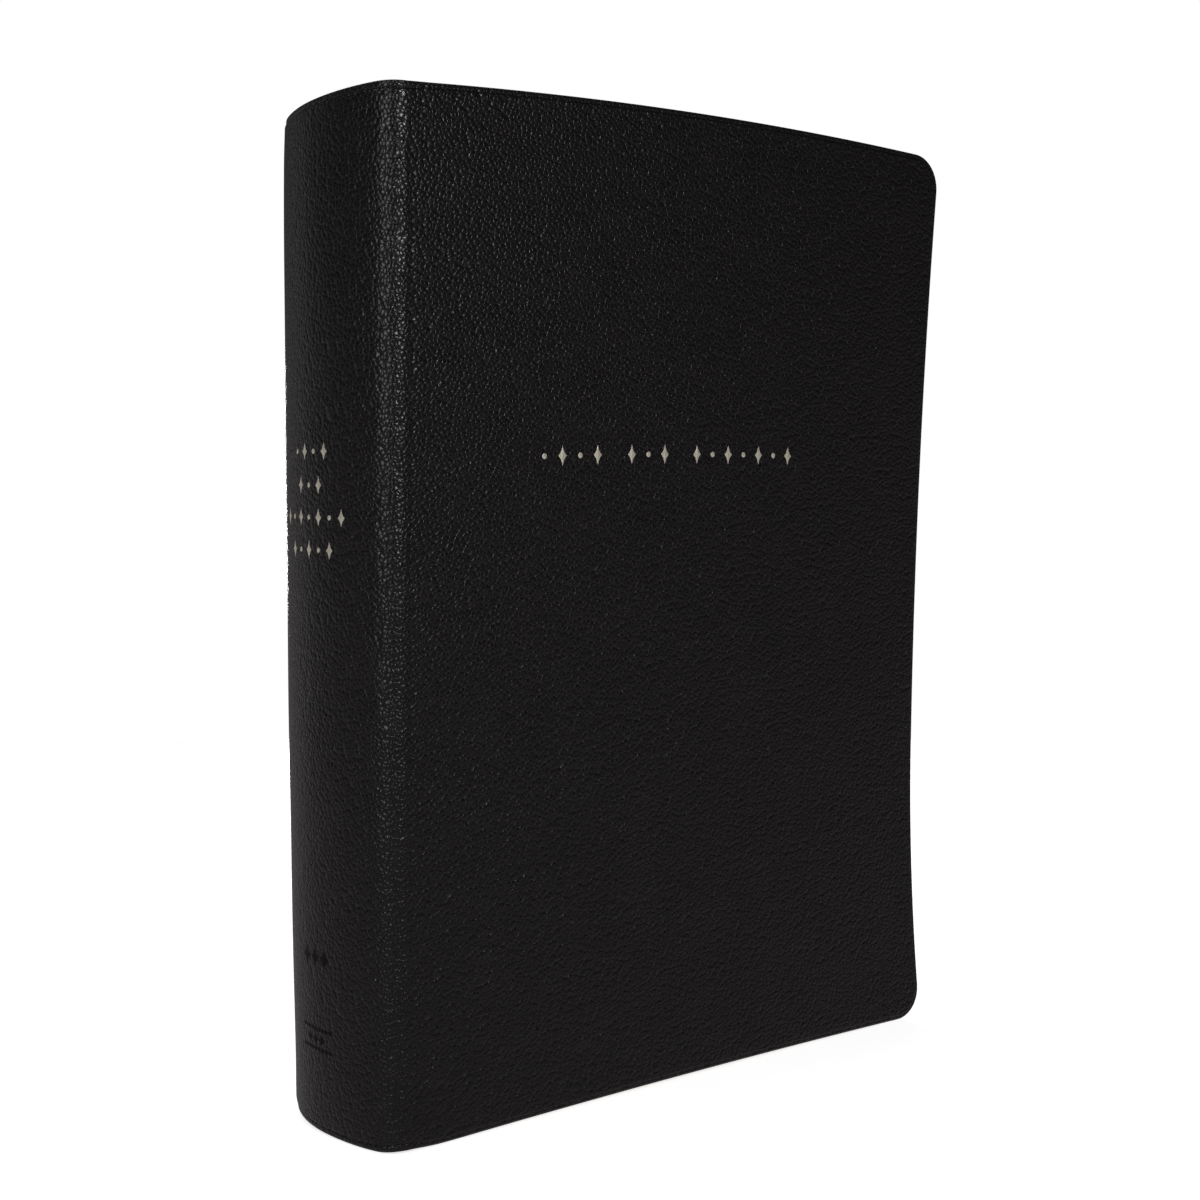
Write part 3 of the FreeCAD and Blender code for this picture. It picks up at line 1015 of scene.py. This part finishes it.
def band_material():
    """Black silk wound over a core, with a painted grey glint on each thread."""
    n = Nodes("band_silk")
    split = n.add("SeparateXYZ", inputs={0: n.surface()})
    thread = n.math("SINE", n.math("MULTIPLY", split.outputs[0], 2 * math.pi * BAND_RIBS * THREADS_PER_RIB))
    fuzz = n.noise(n.mapping(n.surface(), (400.0, 12.0, 1.0)), 1.0, 3.0)
    # Painted highlight: each thread's colour is lighter grey along its middle
    tone = n.blend_colour(n.ramp(thread, -1.0, 1.0), (0.010, 0.010, 0.011), (0.045, 0.043, 0.045))
    rough = n.ramp(fuzz, 0.3, 0.7, 0.38, 0.55)
    return n.set(Base_Color=tone, Roughness=rough, Normal=n.bump(thread, 0.05 * MM))


# ---------------- assembly

leather = leather_material()
endpaper = endpaper_material()
page = page_material()
gilt = gilt_material()
foil = foil_material()
blind = blind_material()
card = fibre_material("cover_card", (0.26, 0.23, 0.19), (0.40, 0.36, 0.30), 1500.0, 0.8)
kraft = fibre_material("kraft_paper", (0.30, 0.20, 0.11), (0.46, 0.33, 0.20), 900.0, 0.78, (1.0, 1.0, 0.15))
folds = fold_material()
thread = fibre_material("thread", (0.62, 0.58, 0.50), (0.84, 0.81, 0.73), 2500.0, 0.7, (1.0, 0.2, 1.0))
mull = mull_material()
silk = band_material()

case = build_case(leather)
for name, near_body, far_body, (bend_start, bend_end), node in (
    ("leather_spine_front", "spine", "front_half", HALF_BEND, "spine_leather"),
    ("leather_spine_back", "spine", "rear_half", HALF_BEND, "spine_leather"),
    ("leather_front_cover", "front_half", "front_cover", COVER_BEND, "front_cover_leather"),
    ("leather_back_cover", "rear_half", "back_cover", COVER_BEND, "back_cover_leather"),
):
    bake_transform(case[name])
    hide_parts(node)

inlay = spine_sheet("spine_inlay_strip", HEAD_MARGIN, INLAY_DEPTHS, card)
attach(inlay, "spine")
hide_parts("spine_inlay")

for side, end, half_body in ((-1, "front", "front_half"), (1, "back", "rear_half")):
    body = f"{end}_cover"
    depths = (CARD_TOP, CARD_BOTTOM)
    stiffener = cover_sheet(f"{body}_stiffener", side, card_low.x, card_high.x, HEAD_MARGIN, depths, card)
    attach(stiffener, body)
    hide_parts(f"{body}_card")
    reach = (LINING_START, FORE_X - LINING_MARGIN)
    depths = (TURN_IN_DEPTH - LINING_OVERLAP, LINING_DEPTH)
    paste = cover_sheet(f"{body}_pastedown", side, *reach, LINING_MARGIN, depths, endpaper)
    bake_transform(paste)
    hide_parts(f"{body}_lining")
    flyleaf_piece(f"{end}_flyleaf", endpaper)

for number in range(1, GATHERINGS + 1):
    gathering_piece(number, page, gilt)

band_piece("head_band", "head_band_silk", silk)
band_piece("tail_band", "tail_band_silk", silk)

for node, material in (
    ("spine_tube", kraft),
    ("spine_mull", mull),
    ("sewing_threads", thread),
    ("sewn_folds", folds),
):
    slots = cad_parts[node].data.materials
    slots.clear()
    slots.append(material)

# Ornaments in place of a title: a row on the front cover, four short rows on the spine
TITLE_Z = 153.6 * MM
TITLE_START = -46.3 * MM
TITLE_END = 38.8 * MM
TITLE_GROUPS = (4, 3, 7)
TITLE_HALF = 2.3 * MM
SPINE_ROWS = ((4, 156.0 * MM), (3, 148.5 * MM), (7, 141.3 * MM), (5, 134.0 * MM))  # how many, and z
SPINE_PITCH = 4.0 * MM
SPINE_HALF = 2.0 * MM
SPINE_MIDDLE = 2.0 * MM
BLIND_PITCH = 4.0 * MM
BLIND_Z = 41.0 * MM
RULES_Z = (24.4 * MM, 19.8 * MM)
RULE_PITCH = 1.5 * MM
BETWEEN_PITCH = 2.8 * MM
BETWEEN_Z = 22.1 * MM


def cover_u(x):
    """Where a point of the front cover lies on the flat layout."""
    return -(FLAT_START + x - SHOULDER_X)


def ornament_row(groups, start, end, z, half, gap=1.0):
    """Groups of lozenges and dots by turns, from start to end, with a wider gap between groups."""
    places = sum(groups) + gap * (len(groups) - 1)
    pitch = (end - start) / places
    shapes = []
    at = start + pitch / 2
    for group in groups:
        for k in range(group):
            if k % 2 == 0:
                shapes.append(lozenge(at, z, half * 0.54, half, 0.22))
            else:
                shapes.append(disc(at, z, half * 0.29))
            at += pitch
        at += pitch * gap
    return shapes


title_shapes = ornament_row(
    TITLE_GROUPS[::-1], cover_u(TITLE_END), cover_u(TITLE_START), TITLE_Z, TITLE_HALF
)
title = stamped("front_foil_row", title_shapes, FOIL_RISE, foil)
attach(title, "front_cover")

spine_shapes = []
for count, z in SPINE_ROWS:
    half = count * SPINE_PITCH / 2
    spine_shapes += ornament_row((count,), SPINE_MIDDLE - half, SPINE_MIDDLE + half, z, SPINE_HALF)
spine_title = stamped("spine_foil_rows", spine_shapes, FOIL_RISE, foil)
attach(spine_title, "spine")

blind_shapes = [
    lozenge(SPINE_MIDDLE + k * BLIND_PITCH, BLIND_Z, 1.7 * MM, 2.2 * MM, 0.15) for k in (-1, 0, 1)
]
for z in RULES_Z:
    blind_shapes += [bar(SPINE_MIDDLE + k * RULE_PITCH, z, 0.65 * MM, 0.5 * MM) for k in range(-4, 5)]
blind_shapes += [
    lozenge(SPINE_MIDDLE + k * BETWEEN_PITCH, BETWEEN_Z, 1.2 * MM, 1.1 * MM) for k in (-1, 0, 1)
]
blind_marks = stamped("spine_blind_marks", blind_shapes, BLIND_RISE, blind)
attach(blind_marks, "spine")

# ---------------- stage


def area_light(name, at, aim, size, power):
    data = bpy.data.lights.new(name, "AREA")
    data.shape = "RECTANGLE"
    data.size, data.size_y = size
    data.energy = power
    lamp = bpy.data.objects.new(name, data)
    bpy.context.scene.collection.objects.link(lamp)
    lamp.location = at
    lamp.visible_camera = False
    lamp.rotation_mode = "QUATERNION"
    lamp.rotation_quaternion = (Vector(aim) - Vector(at)).to_track_quat("-Z", "Y")


FLOOR_RADIUS = 0.6
FLOOR_SHADED = 0.16  # out to here the floor shows the book's shadow, and past FLOOR_WHITE it shows none
FLOOR_WHITE = 0.42
SHADED_GLOW = 0.72


def floor_disc():
    """A pale round floor that fades into a world of the same white."""
    n = Nodes("pale_floor")
    at = n.add("TexCoord").outputs["Object"]
    from_middle = n.add("VectorMath", operation="LENGTH", inputs={0: at}).outputs["Value"]
    glow = n.ramp(from_middle, FLOOR_SHADED, FLOOR_WHITE, SHADED_GLOW, 1.0, smooth_step=True)
    tone = n.blend_colour(n.noise(at, 3.0), (0.92, 0.92, 0.92), (0.95, 0.95, 0.95))
    n.set(Base_Color=tone, Roughness=0.9, Emission_Color=(1.0, 1.0, 1.0), Emission_Strength=glow)
    n.shader.inputs["Specular IOR Level"].default_value = 0.1
    count = 96
    turns = [2 * math.pi * k / count for k in range(count)]
    rim = [(FLOOR_RADIUS * math.cos(t), FLOOR_RADIUS * math.sin(t), 0.0) for t in turns]
    floor = make_object("pale_floor", rim, [list(range(count))], None, n.material)
    floor.visible_glossy = False


CAMERA_AZIMUTH = -39.82
CAMERA_ELEVATION = 4.04
CAMERA_DISTANCE = 0.4892
CAMERA_LENS = 57.29
CAMERA_SHIFT_RIGHT = -8.9 * MM
CAMERA_SHIFT_UP = 1.1 * MM
CAMERA_ROLL = 0.13


def make_camera():
    a, e = math.radians(CAMERA_AZIMUTH), math.radians(CAMERA_ELEVATION)
    back = Vector((math.sin(a) * math.cos(e), -math.cos(a) * math.cos(e), math.sin(e)))
    right = Vector((math.cos(a), math.sin(a), 0))
    up = back.cross(right)
    middle = Vector(((FORE_X + SHOULDER_X) / 2, 0, HEIGHT / 2))
    data = bpy.data.cameras.new("camera")
    data.lens = CAMERA_LENS
    data.sensor_width = 36.0
    data.clip_start, data.clip_end = 0.01, 50
    camera = bpy.data.objects.new("camera", data)
    bpy.context.scene.collection.objects.link(camera)
    camera.location = middle + back * CAMERA_DISTANCE + right * CAMERA_SHIFT_RIGHT + up * CAMERA_SHIFT_UP
    camera.rotation_mode = "QUATERNION"
    level = (-back).to_track_quat("-Z", "Y")
    camera.rotation_quaternion = level @ Quaternion((0, 0, 1), math.radians(CAMERA_ROLL))
    bpy.context.scene.camera = camera


FLOOR_GLOW = 0.30
ROOM_GLOW = 0.03
GLOW_RISE = (-0.45, 0.3)  # the upward parts of a direction between which the one turns into the other
FILL_COLOUR = (1.0, 0.92, 0.96, 1.0)


def studio_world():
    """White to look at. It lights the book dimly, and more from below, as a pale floor does."""
    world = bpy.data.worlds.new("studio")
    bpy.context.scene.world = world
    world.use_nodes = True
    tree = world.node_tree
    seen = tree.nodes["Background"]
    seen.inputs["Color"].default_value = (1.0, 1.0, 1.0, 1.0)
    seen.inputs["Strength"].default_value = 1.0
    fill = tree.nodes.new("ShaderNodeBackground")
    fill.inputs["Color"].default_value = FILL_COLOUR
    towards = tree.nodes.new("ShaderNodeTexCoord")
    upward = tree.nodes.new("ShaderNodeSeparateXYZ")
    tree.links.new(towards.outputs["Generated"], upward.inputs[0])
    level = tree.nodes.new("ShaderNodeMapRange")
    level.interpolation_type = "SMOOTHSTEP"
    for socket, value in zip(level.inputs[1:5], (*GLOW_RISE, FLOOR_GLOW, ROOM_GLOW)):
        socket.default_value = value
    tree.links.new(upward.outputs["Z"], level.inputs[0])
    tree.links.new(level.outputs[0], fill.inputs["Strength"])
    mix = tree.nodes.new("ShaderNodeMixShader")
    ray = tree.nodes.new("ShaderNodeLightPath")
    tree.links.new(ray.outputs["Is Camera Ray"], mix.inputs[0])
    tree.links.new(fill.outputs[0], mix.inputs[1])
    tree.links.new(seen.outputs[0], mix.inputs[2])
    tree.links.new(mix.outputs[0], tree.nodes["World Output"].inputs[0])


# Each light: its name, place, aim, width and height, and power in watts
LIGHTS = (
    ("key", (-0.11, -0.61, 0.37), (-0.06, -HALF_T, HEIGHT * 0.65), (0.12, 0.12), 1.6),
    ("shoulder", (-0.95, -0.30, 0.45), (-0.09, 0, HEIGHT * 0.6), (0.25, 0.6), 3.0),
    ("back_key", (0.26, 0.62, 0.14), (-0.04, HALF_T, HEIGHT * 0.65), (0.14, 0.14), 1.5),
    ("back_rim", (-0.35, 1.05, 0.3), (-0.09, 0, HEIGHT * 0.5), (0.7, 0.9), 0.3),
    ("top", (0, 0.4, 1.4), (0, 0, 0), (0.8, 0.8), 5),
)

bpy.context.scene.view_settings.view_transform = "Standard"
make_camera()
floor_disc()
studio_world()
for light in LIGHTS:
    area_light(*light)
